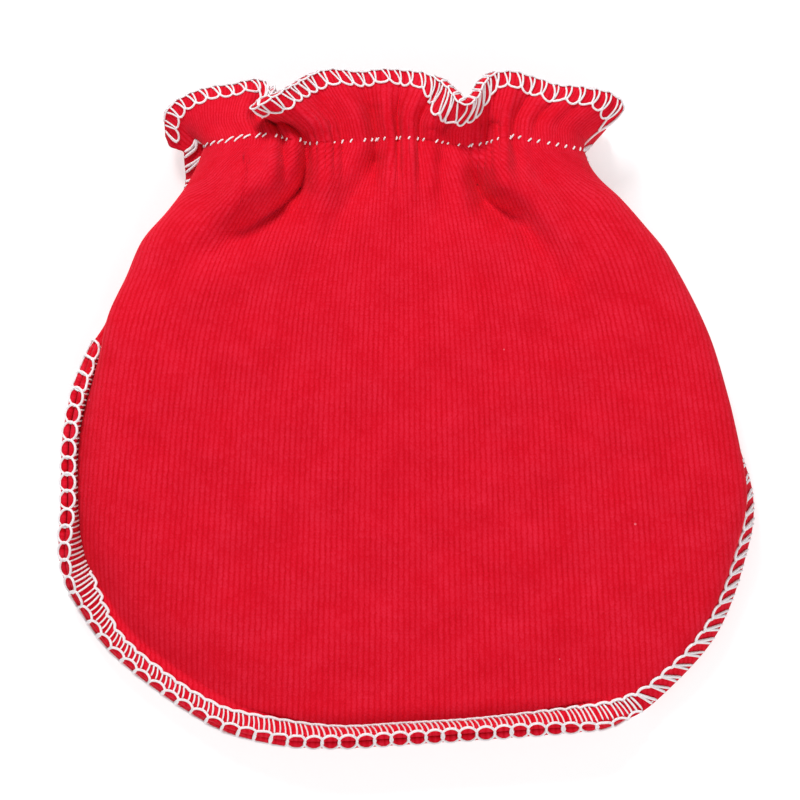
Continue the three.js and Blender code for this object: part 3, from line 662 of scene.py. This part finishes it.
def hem_edge(sheet, width):
    """The hem of one panel from corner to corner, resampled at even depths in from the edge."""
    depth = width * 1.15
    levels = np.linspace(0, depth, EDGE_ROWS)
    ids = sheet.hem_columns[:, ::-1]
    points, normals = sheet.points[ids], sheet.normals[ids]
    along = unit(np.gradient(points[:, 0], axis=0))
    inward = unit(points[:, 6] - points[:, 0])
    square = np.linalg.norm(inward - along * (inward * along).sum(-1, keepdims=True), axis=-1)
    band_x, band_share = zip(*HEM_BAND)
    stretch = np.interp(points[:, 0, 0], band_x, band_share) / np.maximum(square, 0.55)
    stretch = np.convolve(np.pad(stretch, 6, "edge"), np.ones(13) / 13, "valid")
    grid = np.empty((len(ids), EDGE_ROWS, 3))
    turned = np.empty_like(grid)
    for i, (column, normal) in enumerate(zip(points, normals)):
        run = lengths_along(column)
        for axis in range(3):
            grid[i, :, axis] = np.interp(levels * stretch[i], run, column[:, axis])
            turned[i, :, axis] = np.interp(levels * stretch[i], run, normal[:, axis])
    half = np.full(len(ids), CLOTH / 2)
    return Edge(grid, turned, half, depth / (EDGE_ROWS - 1), width, np.ones(len(ids)))


# Threads

def smooth_path(points, per_span):
    """Catmull-Rom curve through points."""
    padded = np.concatenate([2 * points[:1] - points[1:2], points, 2 * points[-1:] - points[-2:-1]])
    p0, p1, p2, p3 = padded[:-3], padded[1:-2], padded[2:-1], padded[3:]
    t = (np.arange(per_span) / per_span)[None, :, None]
    p0, p1, p2, p3 = (p[:, None] for p in (p0, p1, p2, p3))
    curve = 0.5 * (
        2 * p1 + (p2 - p0) * t + (2 * p0 - 5 * p1 + 4 * p2 - p3) * t**2 + (3 * p1 - p0 - 3 * p2 + p3) * t**3
    )
    return np.concatenate([curve.reshape(-1, 3), points[-1:]])


class Threads:
    """Collects tubes of thread into one mesh."""

    SIDES = 8

    def __init__(self):
        self.points, self.faces, self.plies, self.count = [], [], [], 0

    def add(self, path, radius):
        tangents = unit(np.gradient(path, axis=0))
        normal = np.cross(tangents[0], [0.31, 0.17, 0.93])
        normals = np.empty_like(path)
        for i, tangent in enumerate(tangents):
            normal = normal - tangent * np.dot(normal, tangent)
            normal = normal / max(np.linalg.norm(normal), 1e-9)
            normals[i] = normal
        sideways = np.cross(tangents, normals)
        angles = 2 * math.pi * np.arange(self.SIDES) / self.SIDES
        radii = np.broadcast_to(radius, len(path)).copy()
        radii[0] *= 0.55
        radii[-1] *= 0.55
        circle = normals[:, None] * np.cos(angles)[None, :, None] + sideways[:, None] * np.sin(angles)[None, :, None]
        rings = path[:, None] + circle * radii[:, None, None]
        run = lengths_along(path)
        ply = np.stack(np.broadcast_arrays(run[:, None], np.cos(angles)[None], np.sin(angles)[None]), -1)
        base = self.count
        count = len(path)
        ids = base + np.arange(count * self.SIDES).reshape(count, self.SIDES)
        turned = np.roll(ids, -1, axis=1)
        quads = np.stack([ids[:-1], turned[:-1], turned[1:], ids[1:]], -1).reshape(-1, 4)
        self.faces += quads.tolist() + [ids[0][::-1].tolist(), ids[-1].tolist()]
        self.points.append(rings.reshape(-1, 3))
        self.plies.append(ply.reshape(-1, 3))
        self.count += count * self.SIDES

    def make(self, name):
        points = np.concatenate(self.points)
        points[:, 2] = np.maximum(0.02, points[:, 2])
        return make_mesh(name, points, self.faces, {"ply": np.concatenate(self.plies)})


def overlock(edge, spec, top, rim, bottom):
    """Overlock stitches all along an edge: needle line, bars, chain and the knots over the rim."""
    starts = [0.0]
    while starts[-1] < edge.length:
        late = smooth_step(starts[-1] / edge.length * 4 - 2.3)
        starts.append(starts[-1] + spec["pitch"] * (1 - spec["tighten"] * late))
    count = len(starts) - 1
    starts = np.array(starts[:-1])
    pitch = np.diff(np.append(starts, edge.length))
    starts = starts + rng.uniform(-0.05, 0.05, count) * pitch
    width = spec["width"]
    shift = rng.uniform(-0.08, 0.08, count)
    upturn, steep = edge.upturn_at(starts), edge.steep_at(starts)
    sunk = spec["sunk"] * steep * smooth_step((-edge.grid_x(starts) - 38) / 5)
    sewn = (starts > spec["first"]) & (starts < edge.bare_from)
    clear = np.minimum(starts, edge.length - starts) >= spec["clear"]
    for side, threads in ((1, top), (-1, bottom)):
        shown = upturn if side > 0 else np.ones(count)
        needle = spec["needle"] + spec["raised"] * upturn * (1 - steep) - 0.9 * sunk
        needle = np.convolve(np.pad(needle, 3, "edge"), np.ones(7) / 7, "valid") + shift * 0.5
        depth = spec["scallop"] * (1 + 1.1 * (1 - shown))
        chain = spec["chain"] * shown * (1 - steep * spec["sunk"])

        def run_thread(steps, depths, sides, lifts, radius):
            s = (starts[:, None] + np.array(steps)[None, :] * pitch[:, None]).ravel()
            order = np.argsort(s, kind="stable")
            a, on_side, lift = (np.broadcast_to(v, (count, len(steps))).ravel() for v in (depths, sides, lifts))
            path = edge.place(s[order], a[order], on_side[order] * side, lift[order] * side)
            kept = np.flatnonzero(np.repeat(sewn if side > 0 else clear, len(steps)))
            threads.add(smooth_path(path[kept[0] : kept[-1] + 1], 4), radius)

        line = spec["line"]
        scallop = depth[:, None] * np.array([0.7, -0.55, -0.9, -0.5])[None, :]
        run_thread([0, 0.28, 0.55, 0.8], needle[:, None] + scallop, 1.0, line * 0.85, line)
        t = np.linspace(0, 1, 5)
        for k in np.flatnonzero(sewn if side > 0 else clear):
            spreads = [0, spec["spread"]] if side < 0 or shown[k] < 0.5 or not spec["dense"] else [0, 0.34, 0.67]
            for spread in spreads:
                open_foot = 0.85 if len(spreads) > 2 else 0.14
                slant = 0.2 if len(spreads) > 2 else spec["slant"]
                s0 = starts[k] + open_foot * spread * pitch[k]
                s1 = starts[k] + (slant + spread) * pitch[k]
                s = s0 + (s1 - s0) * t + 0.05 * pitch[k] * np.sin(math.pi * t)
                end = width - chain[k] + 0.1 - 0.3 * (1 - shown[k])
                a = needle[k] + (end - needle[k]) * t + shift[k] * t * shown[k]
                radius = spec["bar"] * (1 + 0.35 * (1 - shown[k])) * rng.uniform(0.88, 1.12)
                radius *= 0.85 if len(spreads) > 2 else 1.0
                lift = side * radius * (0.8 + 0.35 * np.sin(math.pi * t))
                threads.add(smooth_path(edge.place(s, a, np.full(5, side), lift), 2), radius)
    loop = spec["loop"]
    turn = np.linspace(0, 2.12 * math.pi, 13)
    above = np.sin(turn)
    for k in np.flatnonzero(sewn):
        hidden = 1 - upturn[k]
        s = starts[k] + (KNOT_PLACE + 0.5 - spec["round"] * np.cos(turn)) * pitch[k]
        a = width + loop * (0.6 + 0.45 * np.cos(turn)) - 0.45 * hidden + shift[k] * 0.5
        flat = 1 - steep[k] * spec["sunk"]
        a = a - spec["chain"] * upturn[k] * flat * np.maximum(0, above) ** 1.5
        lifted = np.clip(above * (1 + 1.8 * flat), -1, 1)
        share = lifted * (1 - 0.5 * hidden) - 0.5 * hidden
        rim.add(smooth_path(edge.place(s, a, share, loop * lifted), 3), loop)


def gather_stitches(sheet, threads, side):
    """Short steep stitches all along the gather line, longer and flatter beside the left fold."""
    points, normals = sheet.points[sheet.wrist_row], sheet.normals[sheet.wrist_row] * side
    run = lengths_along(points)
    along = unit(np.gradient(points, axis=0))

    def read(block, s):
        return np.array([np.interp(s, run, block[:, axis]) for axis in range(3)])

    pitch = GATHER_STITCH["pitch"]
    t = np.linspace(-1, 1, 5)[:, None]
    for k in range(int(run[-1] / pitch)):
        middle = (k + 0.5 + rng.uniform(-0.12, 0.12)) * pitch
        place, normal, forward = (read(block, middle) for block in (points, normals, along))
        left = smooth_step((LEFT_STITCH["x"] - place[0]) / 3)
        length = GATHER_STITCH["length"] + (LEFT_STITCH["length"] - GATHER_STITCH["length"]) * left
        rise = math.radians(GATHER_STITCH["rise"] + (LEFT_STITCH["rise"] - GATHER_STITCH["rise"]) * left)
        upward = unit(np.cross(normal, forward)) * side
        slant = forward * math.cos(rise) + upward * math.sin(rise)
        half = length / 2 * rng.uniform(0.8, 1.15)
        lift = CLOTH / 2 + 0.1 - 0.2 * t**4
        threads.add(smooth_path(place + slant * half * t + unit(normal) * lift, 2), GATHER_STITCH["radius"])


# The wrist elastic

def elastic_band(name):
    """Narrow woven elastic inside the wrist, with its cords raised."""
    steps, side_steps = 120, 12
    share = np.arange(steps + 1) / steps
    side_share = (np.arange(side_steps) / side_steps)[None, :]
    ends = seam_frames(np.array([0.0, 1.0]))
    front, back = front_side(ends, side_share), back_side(ends, side_share)
    full = np.array([[1.0]])
    front_rim, back_rim = front_side(ends, full)[:, 0], back_side(ends, full)[:, 0]
    x, y, _ = wrist_row_place(front_rim[0], front_rim[1], share)
    over = np.stack([x, y, crown_height(x, y) - GATHER["height"] - 0.35], -1)
    x, y, _ = wrist_row_place(back_rim[0], back_rim[1], share)
    under = np.stack([x, y, np.full_like(x, CLOTH / 2 + BACK_GATHER)], -1)
    loop = np.concatenate([front[0], over, front[1][::-1], back[1], under[::-1], back[0][::-1]])
    keep = np.linalg.norm(loop - np.roll(loop, 1, axis=0), axis=-1) > 0.02
    loop = loop[keep]
    for _ in range(6):
        loop = (np.roll(loop, 1, axis=0) + 2 * loop + np.roll(loop, -1, axis=0)) / 4
    along = np.roll(loop, -1, axis=0) - np.roll(loop, 1, axis=0)
    inward = unit(np.stack([along[:, 2], np.zeros(len(loop)), -along[:, 0]], -1))
    near = CLOTH / 2 + ELASTIC["clearance"]
    profile = []
    per_face = 6 * ELASTIC["cords"]
    for face in (1, -1):
        for j in range(per_face + 1):
            across = j / per_face
            ridge = ELASTIC["cord_height"] * abs(math.sin(math.pi * ELASTIC["cords"] * across))
            height = (0.5 - across) * face * ELASTIC["height"]
            middle = near + ELASTIC["thickness"] / 2
            flat_half = ELASTIC["thickness"] / 2 - ELASTIC["cord_height"]
            profile.append((middle - face * (flat_half + ridge), height))
    profile = np.array(profile)
    grid = loop[:, None] + inward[:, None] * profile[None, :, :1]
    grid[..., 1] = loop[:, None, 1] - ELASTIC["drop"] + profile[None, :, 1]
    rings, sides = grid.shape[:2]
    ids = np.arange(rings * sides).reshape(rings, sides)
    next_ring, next_side = np.roll(ids, -1, axis=0), np.roll(ids, -1, axis=1)
    quads = np.stack([ids, next_side, np.roll(next_ring, -1, axis=1), next_ring], -1).reshape(-1, 4)
    run = np.linalg.norm(loop - np.roll(loop, 1, axis=0), axis=-1).cumsum()
    weave = np.stack(np.broadcast_arrays(run[:, None], profile[None, :, 1], 0.0), -1)
    return make_mesh(name, grid.reshape(-1, 3), quads.tolist(), {"cut": weave.reshape(-1, 3)})


# Materials

class Nodes:
    """Short names for building a material's node tree."""

    def __init__(self, name):
        self.material = bpy.data.materials.new(name)
        self.material.use_nodes = True
        self.tree = self.material.node_tree
        self.shader = self.tree.nodes["Principled BSDF"]

    def node(self, kind, inputs=(), **settings):
        made = self.tree.nodes.new(kind)
        for key, value in settings.items():
            setattr(made, key, value)
        for key, value in dict(inputs).items():
            if isinstance(value, bpy.types.NodeSocket):
                self.tree.links.new(value, made.inputs[key])
            else:
                made.inputs[key].default_value = value
        return made

    def math(self, operation, one, two=0.0, three=0.0):
        return self.node("ShaderNodeMath", {0: one, 1: two, 2: three}, operation=operation).outputs[0]

    def mix(self, factor, one, two):
        made = self.node("ShaderNodeMix", data_type="RGBA")
        for index, value in ((0, factor), (6, one), (7, two)):
            if isinstance(value, bpy.types.NodeSocket):
                self.tree.links.new(value, made.inputs[index])
            else:
                made.inputs[index].default_value = value
        return made.outputs[2]

    def link(self, output, name):
        self.tree.links.new(output, self.shader.inputs[name])


def knit_material(name):
    """Fine rib knit: wales of small V stitches, with painted shade between them and a painted highlight on their
    ridges, lint and soft nap.
    """
    n = Nodes(name)
    cut = n.node("ShaderNodeAttribute", attribute_name="cut").outputs["Vector"]
    wobble = n.node("ShaderNodeTexNoise", {"Vector": cut, "Scale": 0.9, "Detail": 2.0}).outputs["Color"]
    offset = n.node("ShaderNodeVectorMath", {0: wobble, 1: (0.5, 0.5, 0.5)}, operation="SUBTRACT").outputs[0]
    scaled = n.node("ShaderNodeVectorMath", {0: offset, 3: 0.35}, operation="SCALE").outputs[0]
    place = n.node("ShaderNodeVectorMath", {0: cut, 1: scaled}, operation="ADD").outputs[0]
    axes = n.node("ShaderNodeSeparateXYZ", {0: place}).outputs
    fan = n.math("MULTIPLY_ADD", axes[1], WALE_FAN, 1.0)
    u = n.math("DIVIDE", n.math("MULTIPLY", axes[0], fan), WALE)
    v = n.math("DIVIDE", axes[1], COURSE)
    from_gap = n.math("PINGPONG", u, 0.5)
    wale = n.math("POWER", n.math("SINE", n.math("MULTIPLY", from_gap, math.pi)), 0.6)
    leg = n.math("ADD", v, n.math("MULTIPLY", from_gap, 1.1))
    stitch = n.math("SINE", n.math("MULTIPLY", leg, 2 * math.pi))
    dots = n.math("MULTIPLY", stitch, n.math("MULTIPLY_ADD", wale, -0.10, 0.14))
    patch = n.node("ShaderNodeTexNoise", {"Vector": cut, "Scale": 0.3, "Detail": 2.0}).outputs["Fac"]
    strong = n.math("MULTIPLY_ADD", patch, 1.4, 0.05)
    ribs = n.math("MULTIPLY", n.math("SUBTRACT", n.math("ADD", wale, dots), 0.7), strong)
    height = n.math("MULTIPLY_ADD", ribs, 0.6, 0.56)
    cell = n.node("ShaderNodeCombineXYZ", {0: n.math("FLOOR", u), 1: n.math("FLOOR", leg)}).outputs[0]
    random = n.node("ShaderNodeTexWhiteNoise", {"Vector": cell}, noise_dimensions="2D").outputs["Value"]
    broad = n.node("ShaderNodeTexNoise", {"Vector": cut, "Scale": 0.22, "Detail": 3.0}).outputs["Fac"]
    fibre = n.node("ShaderNodeTexNoise", {"Vector": cut, "Scale": 4.5, "Detail": 4.0}).outputs["Fac"]
    # The stitch relief also drives the colour: painted shade in the gaps between wales and stitches, painted
    # highlight on the ridges; the noises add random stitch tone, broad mottle and fibre.
    painted_shading_and_tone = height
    for noise, share in ((random, 0.12), (broad, 0.45), (fibre, 0.75)):
        painted_shading_and_tone = n.math("MULTIPLY_ADD", n.math("SUBTRACT", noise, 0.5), share, painted_shading_and_tone)
    ramp = n.node("ShaderNodeValToRGB", {"Fac": painted_shading_and_tone})
    # Dark end: painted shade colour; light end: painted highlight colour; both also carry the random tone.
    ramp.color_ramp.elements[0].position = 0.0
    ramp.color_ramp.elements[0].color = (0.53, 0.0004, 0.005, 1)
    ramp.color_ramp.elements[1].position = 1.0
    ramp.color_ramp.elements[1].color = (0.77, 0.018, 0.048, 1)
    middle = ramp.color_ramp.elements.new(0.5)
    middle.color = (0.65, 0.002, 0.015, 1)
    specks = n.node("ShaderNodeTexVoronoi", {"Vector": cut, "Scale": 0.14, "Randomness": 1.0})
    near = n.math("LESS_THAN", specks.outputs["Distance"], 0.022)
    colour = n.mix(n.math("MULTIPLY", near, 0.4), ramp.outputs["Color"], (0.95, 0.30, 0.38, 1))
    n.link(colour, "Base Color")
    relief = n.math("MULTIPLY_ADD", fibre, 0.5, height)
    bump = n.node("ShaderNodeBump", {"Height": relief, "Strength": 0.55, "Distance": 0.13 * MM})
    n.link(bump.outputs[0], "Normal")
    n.shader.inputs["Roughness"].default_value = 0.92
    n.shader.inputs["Specular IOR Level"].default_value = 0.12
    n.shader.inputs["Sheen Weight"].default_value = 0.08
    n.shader.inputs["Sheen Roughness"].default_value = 0.45
    n.shader.inputs["Sheen Tint"].default_value = (1.0, 0.25, 0.32, 1)
    return n.material


def thread_material(name):
    """Bulky white overlock thread: twisted plies and loose filaments."""
    n = Nodes(name)
    ply = n.node("ShaderNodeAttribute", attribute_name="ply").outputs["Vector"]
    axes = n.node("ShaderNodeSeparateXYZ", {0: ply}).outputs
    angle = n.math("ARCTAN2", axes[2], axes[1])
    twist = n.math("ADD", n.math("MULTIPLY", axes[0], 2 * math.pi / 1.3), n.math("MULTIPLY", angle, 2.0))
    plies = n.math("ABSOLUTE", n.math("SINE", twist))
    fluff = n.node("ShaderNodeTexNoise", {"Vector": ply, "Scale": 5.0, "Detail": 4.0}).outputs["Fac"]
    relief = n.math("ADD", n.math("MULTIPLY", plies, 0.6), fluff)
    bump = n.node("ShaderNodeBump", {"Height": relief, "Strength": 0.6, "Distance": 0.08 * MM})
    n.link(bump.outputs[0], "Normal")
    # Colour follows the plies: painted shade in the grooves between them, with random fluff tone.
    painted_shading_and_tone = n.math("ADD", n.math("MULTIPLY", plies, 0.45), n.math("MULTIPLY", fluff, 0.55))
    n.link(n.mix(painted_shading_and_tone, (0.80, 0.72, 0.76, 1), (0.98, 0.96, 0.97, 1)), "Base Color")
    n.shader.inputs["Roughness"].default_value = 0.7
    n.shader.inputs["Specular IOR Level"].default_value = 0.3
    n.shader.inputs["Sheen Weight"].default_value = 0.35
    return n.material


def elastic_material(name):
    """Off-white woven elastic: crosswise picks over the raised cords."""
    n = Nodes(name)
    cut = n.node("ShaderNodeAttribute", attribute_name="cut").outputs["Vector"]
    axes = n.node("ShaderNodeSeparateXYZ", {0: cut}).outputs
    picks = n.math("SINE", n.math("MULTIPLY", axes[0], 2 * math.pi / 0.45))
    cords = n.math("SINE", n.math("MULTIPLY", axes[1], 2 * math.pi / 0.48))
    weave = n.math("MULTIPLY_ADD", n.math("MULTIPLY", picks, cords), 0.5, 0.5)
    # Colour follows the weave's relief: painted shade where it is low.
    n.link(n.mix(weave, (0.72, 0.69, 0.66, 1), (0.93, 0.91, 0.88, 1)), "Base Color")
    bump = n.node("ShaderNodeBump", {"Height": weave, "Strength": 0.7, "Distance": 0.08 * MM})
    n.link(bump.outputs[0], "Normal")
    n.shader.inputs["Roughness"].default_value = 0.65
    return n.material


def floor_material(name):
    """Pale matt surface with the faintest mottle."""
    n = Nodes(name)
    place = n.node("ShaderNodeNewGeometry").outputs["Position"]
    mottle = n.node("ShaderNodeTexNoise", {"Vector": place, "Scale": 6.0, "Detail": 2.0}).outputs["Fac"]
    n.link(n.mix(mottle, (0.47, 0.47, 0.475, 1), (0.49, 0.49, 0.49, 1)), "Base Color")
    n.shader.inputs["Emission Color"].default_value = (1, 1, 1, 1)
    n.shader.inputs["Emission Strength"].default_value = 0.62
    n.shader.inputs["Roughness"].default_value = 0.95
    n.shader.inputs["Specular IOR Level"].default_value = 0.1
    return n.material


# Stage, light and camera

def build_floor():
    half, steps = 3.0, 12
    ticks = np.linspace(-half, half, steps + 1)
    x, y = np.meshgrid(ticks, ticks, indexing="ij")
    points = np.stack([x, y, np.full_like(x, -0.00005)], -1).reshape(-1, 3) / MM
    ids = np.arange((steps + 1) ** 2).reshape(steps + 1, steps + 1)
    quads = np.stack([ids[:-1, :-1], ids[1:, :-1], ids[1:, 1:], ids[:-1, 1:]], -1).reshape(-1, 4)
    floor = make_mesh("floor", points, quads.tolist(), {})
    floor.data.materials.append(floor_material("floor_pale"))


def build_light():
    world = bpy.data.worlds.new("studio")
    bpy.context.scene.world = world
    world.use_nodes = True
    background = world.node_tree.nodes["Background"]
    background.inputs["Color"].default_value = (1.0, 1.0, 1.0, 1)
    background.inputs["Strength"].default_value = 0.4
    for name, place, size, energy in (
        ("key", (-0.3, 1.0, 0.7), 0.3, 12.0),
        ("fill", (0.3, -0.9, 1.05), 0.9, 10.0),
    ):
        light = bpy.data.lights.new(name, "AREA")
        light.size = size
        light.energy = energy
        lamp = bpy.data.objects.new(name, light)
        lamp.location = place
        toward = -lamp.location
        lamp.rotation_euler = toward.to_track_quat("-Z", "Y").to_euler()
        bpy.context.scene.collection.objects.link(lamp)
    bpy.context.scene.view_settings.view_transform = "Standard"
    bpy.context.scene.view_settings.look = "None"


def build_camera():
    data = bpy.data.cameras.new("camera")
    camera = bpy.data.objects.new("camera", data)
    camera.location = (VIEW["x"] * MM, VIEW["y"] * MM, VIEW["distance"] * MM)
    data.sensor_width = VIEW["sensor"]
    data.lens = VIEW["sensor"] * (VIEW["distance"] - VIEW["plane"]) / VIEW["width"]
    data.clip_start, data.clip_end = 0.1, 10.0
    bpy.context.scene.collection.objects.link(camera)
    bpy.context.scene.camera = camera


# Assembly

def dress(piece, material, slot, *nodes):
    piece.data.materials.append(material)
    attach(piece, "root")
    if nodes:
        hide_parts(*nodes)
    return piece


front = build_panel(FRONT_STEPS, True)
back = build_panel(BACK_STEPS, False)
knit = knit_material("red_rib_knit")
knit_back = knit_material("red_rib_knit_back")
white = thread_material("white_overlock_thread")
front_cloth = dress(front.shell("front_panel_cloth", CLOTH), knit, "red_knit", "front_panel")
back_cloth = dress(back.shell("back_panel_cloth", CLOTH), knit_back, "red_knit_back", "back_panel")
dress(elastic_band("wrist_elastic_band"), elastic_material("woven_elastic"), "elastic", "wrist_elastic")

seam_top, seam_rim, seam_bottom = Threads(), Threads(), Threads()
overlock(seam_edge(front, back), SEAM_STITCH, seam_top, seam_rim, seam_bottom)
seam_pieces = [
    dress(threads.make(name), white, "white_thread")
    for name, threads in (
        ("seam_overlock_top", seam_top), ("seam_overlock_rim", seam_rim), ("seam_overlock_under", seam_bottom),
    )
]
front_threads, back_threads = list(seam_pieces), []
for label, sheet, held in (("front", front, front_threads), ("back", back, back_threads)):
    hem = Threads()
    overlock(hem_edge(sheet, HEM_STITCH["width"]), HEM_STITCH, hem, hem, hem)
    held.append(dress(hem.make(f"hem_overlock_{label}"), white, "white_thread"))
    gathers = Threads()
    gather_stitches(sheet, gathers, 1 if label == "front" else -1)
    held.append(dress(gathers.make(f"gather_stitches_{label}"), white, "white_thread"))

for piece, sheet, rests_on, held in (
    (front_cloth, front, ["back_panel_cloth"], front_threads),
    (back_cloth, back, ["floor"], back_threads),
):
    width, length, area = sheet.flat_size()

build_floor()
build_light()
build_camera()
